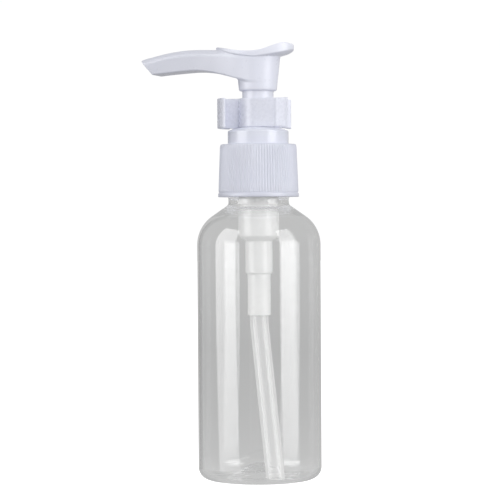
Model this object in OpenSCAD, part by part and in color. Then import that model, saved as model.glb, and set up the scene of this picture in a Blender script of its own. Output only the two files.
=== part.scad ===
// Pump oil bottle: a clear round bottle with a screw-on lotion pump, lock clip fitted.
// Row frame: +Z up, origin on the bottle axis at the plane it stands on, spout along -X.
// Every module is one physical piece of the bottle or of the pump.
// A profile is a closed outline of [radius, z] points, revolved about the axis.

/* [Bottle] */
// Outer radius of the bottle body
bottle_r = 20.5; // [20.3:0.1:20.8]
// Wall thickness of the bottle body
wall = 0.6; // [0.5:0.05:0.8]
// Radius of the rounded heel at the foot
heel_r = 4; // [3.5:0.25:4.5]
// Thickness of the floor at the standing ring
floor_t = 0.9; // [0.7:0.1:1]
// Height of the push-up in the middle of the base
punt_h = 4.5; // [2:0.5:5]
// Outer radius of the bare neck under the closure
neck_r = 10.05; // [9.9:0.05:10.2]
// Radius of the bore through the neck
bore_r = 8.9; // [8.7:0.05:9]

/* [Screw thread] */
// Pitch of the neck thread
pitch = 3.175; // [3.1:0.025:3.25]
// Turns of thread on the neck
turns = 1.5; // [1:0.25:1.5]
// Crest radius of the neck thread
thread_r = 11.85; // [11.6:0.05:11.9]

/* [Closure] */
// Outer radius of the closure at its lower rim
closure_r = 13.45; // [13.3:0.05:13.6]
// Number of grip ribs round the closure
ribs = 90; // [60:2:100]
// Height the grip ribs stand proud
rib_h = 0.25; // [0.15:0.05:0.35]

/* [Collar] */
// Outer radius of the smooth collar above the closure
collar_r = 10.1; // [9.9:0.05:10.3]

/* [Stem and lock clip] */
// Outer radius of the stem
stem_r = 5.2; // [5.1:0.05:5.2]
// Angle of the lock clip round the stem
clip_turn = 11; // [-30:1:30]

/* [Head] */
// Reach of the spout from the axis to the top of its mouth
spout_reach = 40; // [38:0.5:42]
// Width of the spout at its mouth
mouth_w = 9.6; // [8.6:0.2:10]
// Width of the spout where it leaves the boss
root_w = 13.4; // [12.6:0.2:14]
// Width of the thumb pad
pad_w = 16; // [15.4:0.2:17]

/* [Dip tube] */
// Outer radius of the dip tube
tube_r = 3.1; // [2.9:0.05:3.1]
// Direction the dip tube leans
tube_turn = -53; // [-180:1:180]
// Angle of the lean
tube_lean = 15.5; // [8:0.5:15.5]

/* [Spring] */
// Coils in the return spring
coils = 8; // [6:1:9]
// Wire radius of the spring
wire_r = 0.35; // [0.3:0.05:0.4]

/* [Hidden] */
$fn = 128;

z_land = 107;        // top of the neck, where the gasket sits
gasket_t = 1;
z_flange = z_land + gasket_t; // underside of the housing flange
z_close = 93.7;      // lower rim of the closure
z_close_top = 111.2; // top of the closure
z_head = 128.8;      // lower end of the head boss at rest
z_clip = 126.35;     // top of the lock clip
z_clip_low = 116.5;  // lowest point of the lock clip
finish_r = 10.75;    // neck radius between the threads
z_thread = 100.3;    // height of the start of the neck thread
dome_z = 117.5;      // height the collar dome would reach on the axis
dome_fall = 0.0172;  // fall of the dome with radius squared
z_ledge = 70.2;      // ledge the spring stands on
z_rod = 91.9;        // underside of the rod head, which the spring pushes
ball_r = 2.25;
z_ball = 66.82;
z_socket = 54.5;     // lower end of the housing
punt_r = 12;         // inner radius of the standing ring
stem_bore_r = 3.6;
clip_ring_r = 6.53;  // outside of the clip ring
clip_bore_r = 5.36;  // inside of the clip ring
overlap = 0.001;

function arc(centre_x, centre_y, radius, start, end, steps) =
    [for (i = [0:steps]) let (angle = start + (end - start) * i / steps)
        [centre_x + radius * cos(angle), centre_y + radius * sin(angle)]];

function lerp(from, to, t) = from + (to - from) * t;

// Catmull-Rom curve through a list of points
function smooth(points, steps = 6) = let (count = len(points))
    [for (i = [0:count - 2])
        let (before = points[max(i - 1, 0)], from = points[i], to = points[i + 1],
             after = points[min(i + 2, count - 1)])
        for (k = [0:steps - 1]) let (t = k / steps)
            0.5 * (2 * from + (to - before) * t
                + (2 * before - 5 * from + 4 * to - after) * t * t
                + (3 * from - 3 * to + after - before) * t * t * t),
     points[count - 1]];

function reversed(points) = [for (i = [len(points) - 1:-1:0]) points[i]];

// Reflection in y = 0, in reverse order so that it closes the outline of the first half
function mirrored(points) = [for (p = reversed(points)) [p[0], -p[1]]];

function symmetric(half) = concat(half, mirrored(half));

// Push-up of the base: a smooth bump that meets the standing ring level
function punt(r) = r >= punt_r ? 0 : punt_h * (1 + cos(180 * r / punt_r)) / 2;

// Top of the collar
function dome(r) = dome_z - dome_fall * r * r;

// Helical ridge from a buried root to a crest, which fades at both ends.
// The crest lies outside the root on a neck and inside it in a closure.
module ridge(root_r, crest_r, root_half, crest_half, start_z, sweep) {
    fade = 30;                          // degrees
    steps = ceil(sweep / 9);
    step = sweep / steps;
    function crest(i) = let (t = min(1, min(i, steps - i) * step / fade))
        lerp(lerp(root_r, crest_r, 0.25), crest_r, t);
    points = [for (i = [0:steps])
        let (angle = i * step, z = start_z + pitch * angle / 360, top = crest(i))
        for (q = [[root_r, -root_half], [top, -crest_half], [top, crest_half], [root_r, root_half]])
            [q[0] * cos(angle), q[0] * sin(angle), z + q[1]]];
    outward = crest_r > root_r;
    sides = [for (i = [0:steps - 1]) for (k = [0:3])
        let (a = 4 * i + k, b = 4 * i + (k + 1) % 4)
        for (face = [[a, b + 4, b], [a, a + 4, b + 4]])
            outward ? reversed(face) : face];
    first = [0, 1, 2, 3];
    last = [for (k = first) 4 * steps + k];
    ends = outward ? [reversed(first), last] : [first, reversed(last)];
    polyhedron(points = points, faces = concat(sides, ends), convexity = 8);
}

// Clear blown bottle: standing ring, heel, straight body, domed shoulder, threaded neck
module bottle() {
    shoulder_r = 11.66;
    shoulder_x = bottle_r - shoulder_r; // centre of the shoulder arcs
    shoulder_z = 77.8;
    outer_turn = 55;                    // degrees of arc before the straight cone to the neck
    cone_r = shoulder_x + shoulder_r * cos(outer_turn);
    cone_z = shoulder_z + shoulder_r * sin(outer_turn);
    corner_z = cone_z + (cone_r - neck_r) * tan(90 - outer_turn);
    fillet_r = 1.3;                     // fillet at the root of the neck
    fillet_z = corner_z + fillet_r * tan(outer_turn / 2);
    outer = concat(
        [for (r = [0:0.75:punt_r]) [r, punt(r)]],
        arc(bottle_r - heel_r, heel_r, heel_r, -90, 0, 12),
        arc(shoulder_x, shoulder_z, shoulder_r, 0, outer_turn, 16),
        arc(neck_r + fillet_r, fillet_z, fillet_r, 180 + outer_turn, 180, 5),
        // the bead below the thread, then the neck finish
        [[neck_r, 93.2], [finish_r, 94.4], [11.35, 94.6], [11.5, 94.75], [11.5, 95.35],
         [11.35, 95.5], [finish_r, 95.8], [finish_r, z_land - 0.5], [finish_r - 0.4, z_land]]);

    inner_r = shoulder_r - wall;
    inner_turn = 72;                    // the wall thickens from the shoulder into the neck
    inner_cone_r = shoulder_x + inner_r * cos(inner_turn);
    inner_cone_z = shoulder_z + inner_r * sin(inner_turn);
    bore_z = inner_cone_z + (inner_cone_r - bore_r) * tan(90 - inner_turn);
    inner = concat(
        [[bore_r + 0.2, z_land], [bore_r, z_land - 0.2], [bore_r, bore_z + 0.5],
         [bore_r + 0.1, bore_z + 0.15], [bore_r + 0.4, bore_z - 0.13]],
        reversed(arc(shoulder_x, shoulder_z, inner_r, 0, inner_turn, 20)),
        reversed(arc(bottle_r - heel_r, floor_t + heel_r - wall, heel_r - wall, -90, 0, 12)),
        [for (r = [punt_r:-0.75:0]) [r, punt(r) + floor_t]]);

    color([0.86, 0.88, 0.88, 0.35]) union() {
        rotate_extrude() polygon(concat(outer, inner));
        ridge(finish_r - 0.15, thread_r, 1.05, 0.45, z_thread, 360 * turns);
    }
}

// Screw closure: ribbed skirt, plain lower band, top plate with a hole for the collar sleeve
module closure() {
    crest_top_r = 12.72;                // rib crests, at the top and at the lower band
    crest_low_r = closure_r - 0.15;
    root_top_r = crest_top_r - rib_h;
    root_low_r = crest_low_r - rib_h;
    z_rib_low = 95.4;
    z_rib_top = 110.3;
    skirt_bore_r = 12.05;
    z_skirt_bore = 106.2;               // top of the wide bore
    upper_bore_r = 11.3;
    hole_r = 7.7;
    z_plate = 109.5;                    // underside of the top plate
    skirt = [
        [11.0, z_close], [closure_r - 0.1, z_close], [closure_r, z_close + 0.15],
        [closure_r - 0.04, z_close + 0.85], [closure_r - 0.22, z_rib_low - 0.25],
        [root_low_r, z_rib_low], [root_top_r, z_rib_top], [12.33, z_close_top - 0.35],
        [12.1, z_close_top], [11.0, z_close_top]];
    // One rib in plan: [fraction of the rib spacing, height above the rib root]
    rib = [[-0.30, -0.06], [-0.14, rib_h], [0.14, rib_h], [0.30, -0.06]];
    spacing = 360 / ribs;
    rib_ring = [for (i = [0:ribs - 1]) for (q = rib)
        let (r = root_low_r + q[1], angle = (i + q[0]) * spacing)
            [r * cos(angle), r * sin(angle)]];

    color([0.84, 0.85, 0.9]) union() {
        difference() {
            union() {
                rotate_extrude() polygon(skirt);
                translate([0, 0, z_rib_low - 0.1])
                    linear_extrude(height = z_rib_top - z_rib_low + 0.1,
                                   scale = root_top_r / root_low_r)
                        polygon(rib_ring);
            }
            translate([0, 0, z_close - 1])
                cylinder(r = skirt_bore_r, h = z_skirt_bore - z_close + 1);
            translate([0, 0, z_skirt_bore - overlap])
                cylinder(r1 = skirt_bore_r, r2 = upper_bore_r, h = 0.9);
            translate([0, 0, z_land]) cylinder(r = upper_bore_r, h = z_plate - z_land);
            translate([0, 0, z_plate - 0.5]) cylinder(r = hole_r, h = 4);
        }
        translate([0, 0, z_plate]) difference() {
            cylinder(r = 11.6, h = z_close_top - z_plate);
            translate([0, 0, -1]) cylinder(r = hole_r, h = 4);
        }
        ridge(12.2, 10.95, 0.97, 0.4, z_thread - 1.45, 420);
    }
}

// Soft ring that seals the pump flange on the neck
module gasket() {
    color([0.93, 0.93, 0.9]) translate([0, 0, z_land]) difference() {
        cylinder(r = 11, h = gasket_t);
        translate([0, 0, -1]) cylinder(r = bore_r + 0.1, h = gasket_t + 2);
    }
}

// Pump cylinder: flange, piston chamber, spring well, ball seat, dip tube socket
module housing() {
    outside = [
        [3.12, z_socket], [3.7, z_socket], [3.85, z_socket + 0.15], [3.85, 68.0], [4.53, 68.6],
        [4.53, 79.1], [6.45, 80.4], [6.8, 80.9], [6.8, 98.2], [8.25, 99.4], [8.25, z_flange],
        [10.85, z_flange], [11, z_flange + 0.15], [11, 109.3], [10.85, 109.45], [7.6, 109.45]];
    inside = [
        [7.35, 109.1], [7.35, 107.1], [7.6, 106.85], [7.6, 105.6], [7.35, 105.35], [7.35, 99.1],
        [5.9, 98.4], [5.9, 81.3], [3.75, 80.1], [3.75, z_ledge], [2.1, z_ledge], [2.1, 69.2],
        [2.75, 69.2], [2.75, 66.6], [1.6, 65.2], [1.6, 63.7], [3.12, 63.7]];
    color([0.93, 0.94, 0.95]) rotate_extrude() polygon(concat(outside, inside));
}

// Smooth collar: it plugs into the housing, guides the stem and traps the closure
module collar() {
    guide_r = 5.3;
    edge_r = 0.9;                       // rounding of the outer top edge
    sleeve = [
        [guide_r, 99.75], [5.5, 99.55], [7.1, 99.55], [7.3, 99.75], [7.3, 105.5], [7.5, 105.9],
        [7.5, 106.5], [7.3, 106.9], [7.3, 114.4], [8.9, 114.4], [8.9, 111.25],
        [collar_r - 0.1, 111.25], [collar_r, 111.35]];
    color([0.85, 0.86, 0.91]) rotate_extrude() polygon(concat(
        sleeve,
        arc(collar_r - edge_r, dome(collar_r - 0.5) - 0.75, edge_r, 0, 66, 6),
        [for (r = [9:-0.5:5.5]) [r, dome(r)]],
        [[guide_r, dome(5.5) - 0.12]]));
}

// Plan of the clip ring, open towards +X with flared lips
module clip_ring_2d() {
    // The lip on the -Y side as [x, y]: out along its outside, back along its inside
    lip = [
        [2, -6.5], [4, -6.3], [5.6, -5.98], [6.3, -6.02], [7.4, -6.55], [8.6, -7.2],
        [9.6, -7.86], [10.2, -8.2], [10.45, -7.75], [10.1, -7.3], [9.2, -6.7], [8.1, -5.95],
        [7.0, -5.42], [5.8, -clip_bore_r], [3.0, -clip_bore_r], [2.6, -5.28], [2.0, -5.28],
        [1.6, -clip_bore_r]];
    polygon(concat(arc(0, 0, clip_ring_r, 90, 270, 36), lip,
        arc(0, 0, clip_bore_r, 270, 90, 36), mirrored(lip)));
}

// Plan of the curved finger pad on the -X side
module clip_pad_2d() {
    end = [[-11.35, -7.05], [-10.95, -6.95], [-10.6, -6.45]];
    polygon(concat(arc(0, 0, 13.6, 148, 212, 24), end,
        arc(0, 0, 12.4, 210.5, 149.5, 24), mirrored(end)));
}

// Plan of the web from the finger pad to the ring
module clip_web_2d() {
    polygon([[-12.8, -0.65], [-7.3, -0.65], [-6.4, -1.1], [-6, 0],
        [-6.4, 1.1], [-7.3, 0.65], [-12.8, 0.65]]);
}

// Lock clip: an open-ended ring, a web and a finger pad
module lock_clip() {
    cut_r = 9;                          // half width of the cuts under the clip
    cut_z = 115;                        // their lower side
    function seat(r) = dome(r) + 0.06;
    color([0.86, 0.87, 0.92]) rotate([0, 0, clip_turn]) difference() {
        translate([0, 0, z_clip_low]) linear_extrude(height = z_clip - z_clip_low) union() {
            clip_ring_2d();
            clip_pad_2d();
            clip_web_2d();
        }
        // The underside follows the collar dome on the pad side and runs straight towards the
        // open end, so the lips stay clear of the dome as the clip is pulled off
        rotate([0, 0, 90]) rotate_extrude(angle = 180)
            polygon(concat([[0, cut_z], [cut_r, cut_z]], [for (r = [cut_r:-1:0]) [r, seat(r)]]));
        rotate([90, 0, 90]) linear_extrude(height = 14)
            polygon(concat([[-cut_r, cut_z], [cut_r, cut_z]],
                [for (y = [cut_r:-1:-cut_r]) [y, seat(y)]]));
    }
}

// Slab across the head, from an outline of [x, z] points
slab_w = 24;
module side_slab(outline) {
    rotate([90, 0, 0]) translate([0, 0, -slab_w / 2]) linear_extrude(height = slab_w)
        polygon(outline);
}

// Side shape of the spout. The inset shrinks it to the passage inside
module spout_side(inset) {
    mouth_x = -spout_reach + inset * 0.4;
    // Each row is [x, z], before the inset
    top = [[3, 142.4], [-6, 142.9], [-14, 143.05], [-20.5, 143.15], [-25, 143.1],
        [-29.5, 142.65], [-33, 142.1], [-36, 141.45], [mouth_x, 140.3]];
    low = [[mouth_x + 4.1, 134.85], [-33, 135.1], [-28, 135.55], [-23.5, 135.9], [-19.5, 136.0],
        [-15.4, 135.65], [-11.6, 134.85], [-8, 133.8], [-3, 132.2], [3, 131.4]];
    side_slab(concat(smooth([for (p = top) p - [0, inset]]),
        smooth([for (p = low) p + [0, inset]])));
}

// Plan shape of the spout, tapering from root to mouth
module spout_plan(inset) {
    // The -Y side: [x, y before the inset]
    edge = [[5, -4.4], [3, -5.7], [0, -root_w / 2], [-3, -root_w / 2],
        [-10, -lerp(root_w, mouth_w, 0.5) / 2], [-22, -lerp(root_w, mouth_w, 0.85) / 2],
        [-45, -mouth_w / 2]];
    translate([0, 0, 120]) linear_extrude(height = 30)
        polygon(symmetric([for (p = edge) p + [0, inset]]));
}

// Solid spout, its section bevelled along the top edges
module spout() {
    // The -Y half of the section: [z, y]
    section = [[120, -9], [138.5, -9], [140.3, -root_w / 2], [141.9, -root_w / 2 + 1.6],
        [143.3, -2.6]];
    intersection() {
        spout_side(0);
        spout_plan(0);
        rotate([0, -90, 0]) translate([0, 0, -8]) linear_extrude(height = 56)
            polygon(symmetric(section));
    }
}

// Saddle-shaped thumb pad
module thumb_pad() {
    // Side curves: [x, z]
    top = [[-13.9, 143.7], [-9.5, 142.95], [-4, 142.0], [0, 142.1], [4, 142.95], [8, 144.2],
        [9.8, 144.65], [11, 144.3], [12.2, 142.6]];
    low = [[12, 142.0], [9, 141.2], [5, 140.5], [0, 140.0], [-5, 140.3], [-10, 141.1],
        [-14.3, 142.3]];
    // The +Y edge in plan: [x, y]
    edge = [[-14.3, 0], [-13.6, 3.2], [-10, 5.4], [-5, 7.2], [0, pad_w / 2],
        [5, pad_w / 2 - 0.4], [9, 6.2], [11.6, 3.4], [12.3, 0]];
    intersection() {
        side_slab(concat(smooth(top), smooth(low)));
        translate([0, 0, 130]) linear_extrude(height = 20)
            polygon(concat(smooth(edge), smooth(mirrored(edge))));
    }
}

// Head: tapered boss on the stem, hollow curved spout and thumb pad
module actuator() {
    passage_inset = 1.3;
    z_passage = 141.4;                  // ceiling of the passage
    boss = [[0, 0], [6.0, 0], [6.25, 0.3], [7.5, 11.4], [7.5, 12.6], [0, 12.6]];
    color([0.85, 0.86, 0.91]) difference() {
        union() {
            translate([0, 0, z_head]) rotate_extrude() polygon(boss);
            spout();
            thumb_pad();
        }
        // socket for the stem, then the liquid passage
        translate([0, 0, z_head - 1]) cylinder(r = stem_r + 0.02, h = 7.2);
        translate([0, 0, z_head + 5]) cylinder(r = stem_bore_r, h = 7.2);
        intersection() {
            spout_side(passage_inset);
            spout_plan(passage_inset);
            translate([-60, -slab_w / 2, 120]) cube([62, slab_w, z_passage - 120]);
        }
    }
}

// Hollow stem: it carries the head and guides it through the collar
module stem() {
    color([0.87, 0.88, 0.92]) rotate_extrude() polygon([
        [stem_bore_r, 98.4], [5.5, 98.4], [5.65, 98.55], [5.65, 99.3], [5.5, 99.45],
        [stem_r, 99.45], [stem_r, 134.6], [stem_r - 0.3, 134.9], [stem_bore_r, 134.9]]);
}

// Piston: two sealing lips, a web and a hub that slides on the rod and in the stem
module piston() {
    hub_bore_r = 2.55;
    hub_r = 3.5;
    lip_r = 5.86;
    color([0.95, 0.95, 0.95]) rotate_extrude() polygon([
        [hub_bore_r, 94.1], [3.4, 94.1], [hub_r, 94.3], [hub_r, 95.0], [4.9, 95.0], [5.5, 93.1],
        [lip_r, 93.25], [lip_r, 93.9], [5.55, 94.5], [5.55, 95.6], [lip_r, 96.2], [lip_r, 96.7],
        [5.5, 96.9], [4.95, 96.2], [hub_r, 96.2], [hub_r, 101.0], [3.3, 101.2],
        [hub_bore_r, 101.2]]);
}

// Piston rod: valve head under the piston, a shank through it and a slotted plug in the stem
module piston_rod() {
    shank_r = 2.4;
    plug_r = 3.58;
    slot_w = 1.6;
    profile = [
        [0, 88.9], [2.2, 88.9], [2.5, 89.3], [2.5, z_rod], [3.4, z_rod], [3.55, z_rod + 0.15],
        [3.55, 93.6], [3.3, 94.05], [shank_r, 94.05], [shank_r, 103.6], [plug_r, 104.4],
        [plug_r, 112.4], [3.1, 113], [0, 113]];
    color([0.94, 0.94, 0.95]) difference() {
        rotate_extrude() polygon(profile);
        for (angle = [0:90:270]) rotate([0, 0, angle])
            translate([1.5, -slot_w / 2, 95.6]) cube([3, slot_w, 20]);
    }
}

// Compression spring: one wire wound round a rising coil with closed ends
module spring() {
    coil_r = 3.1;                       // to the middle of the wire
    steps = coils * 24;
    sides = 8;                          // sides of the wire section
    z_low = z_ledge + wire_r;
    z_top = z_rod - wire_r;
    closed_rise = 2 * wire_r + 0.05;
    // one closed coil at each end, an even rise between
    function rise(t) = let (coil = 1 / coils)
        t < coil ? z_low + closed_rise * t / coil
        : t > 1 - coil ? z_top - closed_rise * (1 - t) / coil
        : lerp(z_low + closed_rise, z_top - closed_rise, (t - coil) / (1 - 2 * coil));
    points = [for (i = [0:steps]) let (t = i / steps, turn = 360 * coils * t, z = rise(t))
        for (k = [0:sides - 1]) let (angle = 360 * k / sides, r = coil_r + wire_r * cos(angle))
            [r * cos(turn), r * sin(turn), z + wire_r * sin(angle)]];
    faces = concat(
        [for (i = [0:steps - 1]) for (k = [0:sides - 1])
            let (a = sides * i + k, b = sides * i + (k + 1) % sides)
            for (face = [[a, b, b + sides], [a, b + sides, a + sides]]) face],
        [[for (k = [sides - 1:-1:0]) k], [for (k = [0:sides - 1]) sides * steps + k]]);
    color([0.72, 0.73, 0.75]) polyhedron(points = points, faces = faces, convexity = 10);
}

// Ball of the inlet valve
module check_ball() {
    color([0.8, 0.82, 0.84]) translate([0, 0, z_ball]) sphere(r = ball_r);
}

// Solid run of the dip tube: straight in its socket, bent, then straight at the lean
module tube_run(radius, extra_top) {
    bend_r = 20;
    z_bend = z_socket - 0.2;
    translate([0, 0, z_bend]) cylinder(r = radius, h = 63.5 + extra_top - z_bend);
    translate([bend_r, 0, z_bend]) rotate([90, 0, 0]) rotate([0, 0, 180])
        rotate_extrude(angle = tube_lean) translate([bend_r, 0]) circle(r = radius);
    translate([bend_r, 0, z_bend]) rotate([0, -tube_lean, 0]) translate([-bend_r, 0, -54])
        cylinder(r = radius - 0.03, h = 54.8);
}

// Dip tube: it reaches the corner of the base, where its foot is cut level
module dip_tube() {
    tube_wall = 0.8;
    z_foot = 1.3;
    color([0.9, 0.91, 0.9]) rotate([0, 0, tube_turn]) difference() {
        tube_run(tube_r, 0);
        tube_run(tube_r - tube_wall, 1);
        translate([-40, -40, -60]) cube([80, 80, 60 + z_foot]);
    }
}

bottle();
closure();
gasket();
housing();
collar();
lock_clip();
actuator();
stem();
piston();
piston_rod();
spring();
check_ball();
dip_tube();
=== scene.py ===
"""A clear bottle with a white screw closure and a lotion pump, held up by a lock clip.

It stands upright on the floor z = 0 with its axis on Z; the pump's spout points along -X.
Shapes are given in millimetres. The stage, lights, camera and texture sizes are in metres.
"""

import math

import bpy
import numpy as np
from mathutils import Matrix, Vector
from mathutils.geometry import tessellate_polygon


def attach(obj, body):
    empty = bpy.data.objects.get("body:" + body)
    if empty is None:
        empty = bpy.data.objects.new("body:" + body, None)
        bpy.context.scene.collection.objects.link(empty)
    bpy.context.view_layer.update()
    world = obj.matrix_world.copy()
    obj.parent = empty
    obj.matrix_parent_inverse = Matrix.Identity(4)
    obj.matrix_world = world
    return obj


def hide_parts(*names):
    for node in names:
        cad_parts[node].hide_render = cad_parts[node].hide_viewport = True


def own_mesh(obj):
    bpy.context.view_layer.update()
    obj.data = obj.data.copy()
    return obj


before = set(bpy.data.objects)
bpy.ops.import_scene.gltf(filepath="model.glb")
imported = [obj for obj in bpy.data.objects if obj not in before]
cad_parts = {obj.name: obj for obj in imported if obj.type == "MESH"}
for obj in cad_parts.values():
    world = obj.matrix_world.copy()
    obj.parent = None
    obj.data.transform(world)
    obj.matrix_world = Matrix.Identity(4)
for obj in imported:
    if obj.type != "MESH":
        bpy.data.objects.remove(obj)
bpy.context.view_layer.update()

SCENE = bpy.context.scene
MM = 0.001
TAU = 2 * math.pi

# ---------------------------------------------------------------- sizes, in millimetres

# bottle
BOTTLE_R, HEEL_R, WALL, FLOOR = 20.5, 4.0, 0.6, 0.9
PUSHUP_R, PUSHUP_HEIGHT = 12, 4.5
SHOULDER_R, SHOULDER_Z = 11.66, 77.8
OUTER_SWEEP, INNER_SWEEP = 55, 58  # degrees the shoulder arcs turn through
NECK_R, NECK_FILLET = 10.05, 1.3
FINISH_R, BORE_R, LAND_Z = 10.75, 8.9, 107.0

# screw thread
PITCH, THREAD_R, THREAD_Z = 3.175, 11.85, 100.3
THREAD_HALF_WIDTH, THREAD_FLANK = 1.02, 0.58
THREAD_FADE = 30.0  # degrees over which each end runs out

# closure
CLOSURE_Z, CLOSURE_TOP = 93.7, 111.2
CLOSURE_BORE, CLOSURE_THREAD_R = 12.05, 10.97
RIBS, STEPS_PER_RIB, RIB_DEPTH = 90, 10, 0.17

# pump
DOME_TOP, DOME_FALL = 117.5, 0.0172  # the collar's top: height on the axis, fall per radius squared
SPRING_FOOT, SPRING_LENGTH, SPRING_R, WIRE_R, COILS = 70.2, 21.7, 3.1, 0.35, 8
BALL_R, BALL_Z = 2.25, 66.82
TUBE_OUTER_R, TUBE_INNER_R = 3.1, 2.3
TUBE_TOP, TUBE_BEND_Z, TUBE_END_Z, TUBE_BEND_R = 63.5, 54.3, 1.3, 20.0
TUBE_LEAN, TUBE_TURN = math.radians(15.5), math.radians(-53)

# lock clip
CLIP_TURN = math.radians(11)
CLIP_RING_R, CLIP_HALF_WALL, CLIP_PAD_R = 5.945, 0.585, 13.0
CLIP_GAP, CLIP_LOWEST, CLIP_TOP, CLIP_EDGE = 0.06, 116.5, 126.35, 0.2

# ---------------------------------------------------------------- mesh tools


def build(name, verts, faces, body, node, slot, material, sharp=None, normals=None):
    """A mesh object from millimetre vertices, riding on a CAD body in place of a CAD node."""
    mesh = bpy.data.meshes.new(name)
    mesh.from_pydata((np.asarray(verts, float) * MM).tolist(), [], faces)
    mesh.validate()
    mesh.update()
    mesh.polygons.foreach_set("use_smooth", [True] * len(mesh.polygons))
    if sharp:
        mesh.set_sharp_from_angle(angle=math.radians(sharp))
    if normals is not None:
        mesh.normals_split_custom_set_from_vertices(normals.tolist())
    mesh.materials.append(material)
    obj = bpy.data.objects.new(name, mesh)
    SCENE.collection.objects.link(obj)
    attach(obj, body)
    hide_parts(node)
    return obj


def lathe_grid(radii, heights, closed):
    """Vertices and outward faces of rings [row, segment] about Z; a ring of no radius is a pole."""
    rows, segments = radii.shape
    angles = np.arange(segments) * TAU / segments
    verts, ids = [], []
    for radius, height in zip(radii, heights):
        if radius.max() < 1e-6:
            ids.append([len(verts)] * segments)
            verts.append((0.0, 0.0, float(height.mean())))
        else:
            ids.append(list(range(len(verts), len(verts) + segments)))
            verts += list(zip(radius * np.cos(angles), radius * np.sin(angles), height))
    faces = []
    for i in range(rows if closed else rows - 1):
        low, high = ids[i], ids[(i + 1) % rows]
        for j in range(segments):
            k = (j + 1) % segments
            face = tuple(dict.fromkeys((low[j], low[k], high[k], high[j])))
            if len(face) > 2:
                faces.append(face)
    return verts, faces


def rounded(outline, closed, steps=5):
    """Outline points (r, z) or (r, z, fillet) with each fillet drawn as an arc."""
    drawn, count = [], len(outline)
    for i, point in enumerate(outline):
        corner = np.array(point[:2], float)
        fillet = point[2] if len(point) > 2 else 0.0
        is_end = not closed and i in (0, count - 1)
        if not fillet or is_end:
            drawn.append(corner)
            continue
        back = np.array(outline[(i - 1) % count][:2], float) - corner
        ahead = np.array(outline[(i + 1) % count][:2], float) - corner
        back_length, ahead_length = np.linalg.norm(back), np.linalg.norm(ahead)
        back, ahead = back / back_length, ahead / ahead_length
        half = math.acos(max(-1, min(1, float(back @ ahead)))) / 2
        if half > 1.5:  # all but straight
            drawn.append(corner)
            continue
        trim = min(fillet / math.tan(half), 0.48 * back_length, 0.48 * ahead_length)
        radius = trim * math.tan(half)
        middle = (back + ahead) / np.linalg.norm(back + ahead)
        centre = corner + middle * radius / math.sin(half)
        first, last = corner + back * trim - centre, corner + ahead * trim - centre
        start = math.atan2(first[1], first[0])
        sweep = (math.atan2(last[1], last[0]) - start + math.pi) % TAU - math.pi
        for k in range(steps + 1):
            angle = start + sweep * k / steps
            drawn.append(centre + radius * np.array([math.cos(angle), math.sin(angle)]))
    return np.array(drawn)


def lathe(name, outline, closed=True, segments=160, sharp=35.0, **build_args):
    """A turned piece from its outline."""
    points = rounded(outline, closed)
    points[:, 0] = np.maximum(points[:, 0], 0)
    radii = np.repeat(points[:, :1], segments, 1)
    heights = np.repeat(points[:, 1:], segments, 1)
    return build(name, *lathe_grid(radii, heights, closed), sharp=sharp, **build_args)


def arc(centre_r, centre_z, radius, start, end, steps):
    angles = np.radians(np.linspace(start, end, steps + 1))
    return list(zip(centre_r + radius * np.cos(angles), centre_z + radius * np.sin(angles)))


def spline(knots, x):
    """Smooth curve through (x, value) knots of rising x, read at x."""
    knot_x, knot_y = np.array(knots, float).T
    gap = np.diff(knot_x)
    chord = np.diff(knot_y) / gap
    slope = np.zeros(len(knot_x))
    slope[1:-1] = (chord[:-1] * gap[1:] + chord[1:] * gap[:-1]) / (gap[1:] + gap[:-1])
    slope[0], slope[-1] = chord[0], chord[-1]
    i = np.clip(np.searchsorted(knot_x, x) - 1, 0, len(gap) - 1)
    t = np.clip((x - knot_x[i]) / gap[i], -0.5, 1.5)
    t2, t3 = t * t, t * t * t
    return (
        (2 * t3 - 3 * t2 + 1) * knot_y[i]
        + (t3 - 2 * t2 + t) * gap[i] * slope[i]
        + (-2 * t3 + 3 * t2) * knot_y[i + 1]
        + (t3 - t2) * gap[i] * slope[i + 1]
    )


# ---------------------------------------------------------------- distance fields


def smooth_min(a, b, blend):
    share = np.clip(0.5 + 0.5 * (b - a) / blend, 0, 1)
    return b * (1 - share) + a * share - blend * share * (1 - share)


def smooth_max(a, b, blend):
    return -smooth_min(-a, -b, blend)


def differences(field, points, reach):
    """Change of the field across each point, from -reach to +reach along each axis."""
    return np.stack(
        [field(*(points + step).T) - field(*(points - step).T) for step in reach * np.eye(3)], 1
    )


def unit_normals(field, points):
    """Unit outward normals of the surface field = 0."""
    gradient = differences(field, points, 0.07)
    return gradient / np.maximum(np.linalg.norm(gradient, axis=1), 1e-9)[:, None]


def settle(field, points, cell_size):
    """Move points on to the surface field = 0, by half a cell at most in each of two moves."""
    reach = 0.02
    for _ in range(2):
        value = field(*points.T)
        gradient = differences(field, points, reach) / (2 * reach)
        move = value[:, None] * gradient / np.maximum((gradient * gradient).sum(1), 0.04)[:, None]
        size = np.linalg.norm(move, axis=1)
        move *= np.minimum(1, 0.5 * cell_size / np.maximum(size, 1e-9))[:, None]
        points = points - move
    return points


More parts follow.
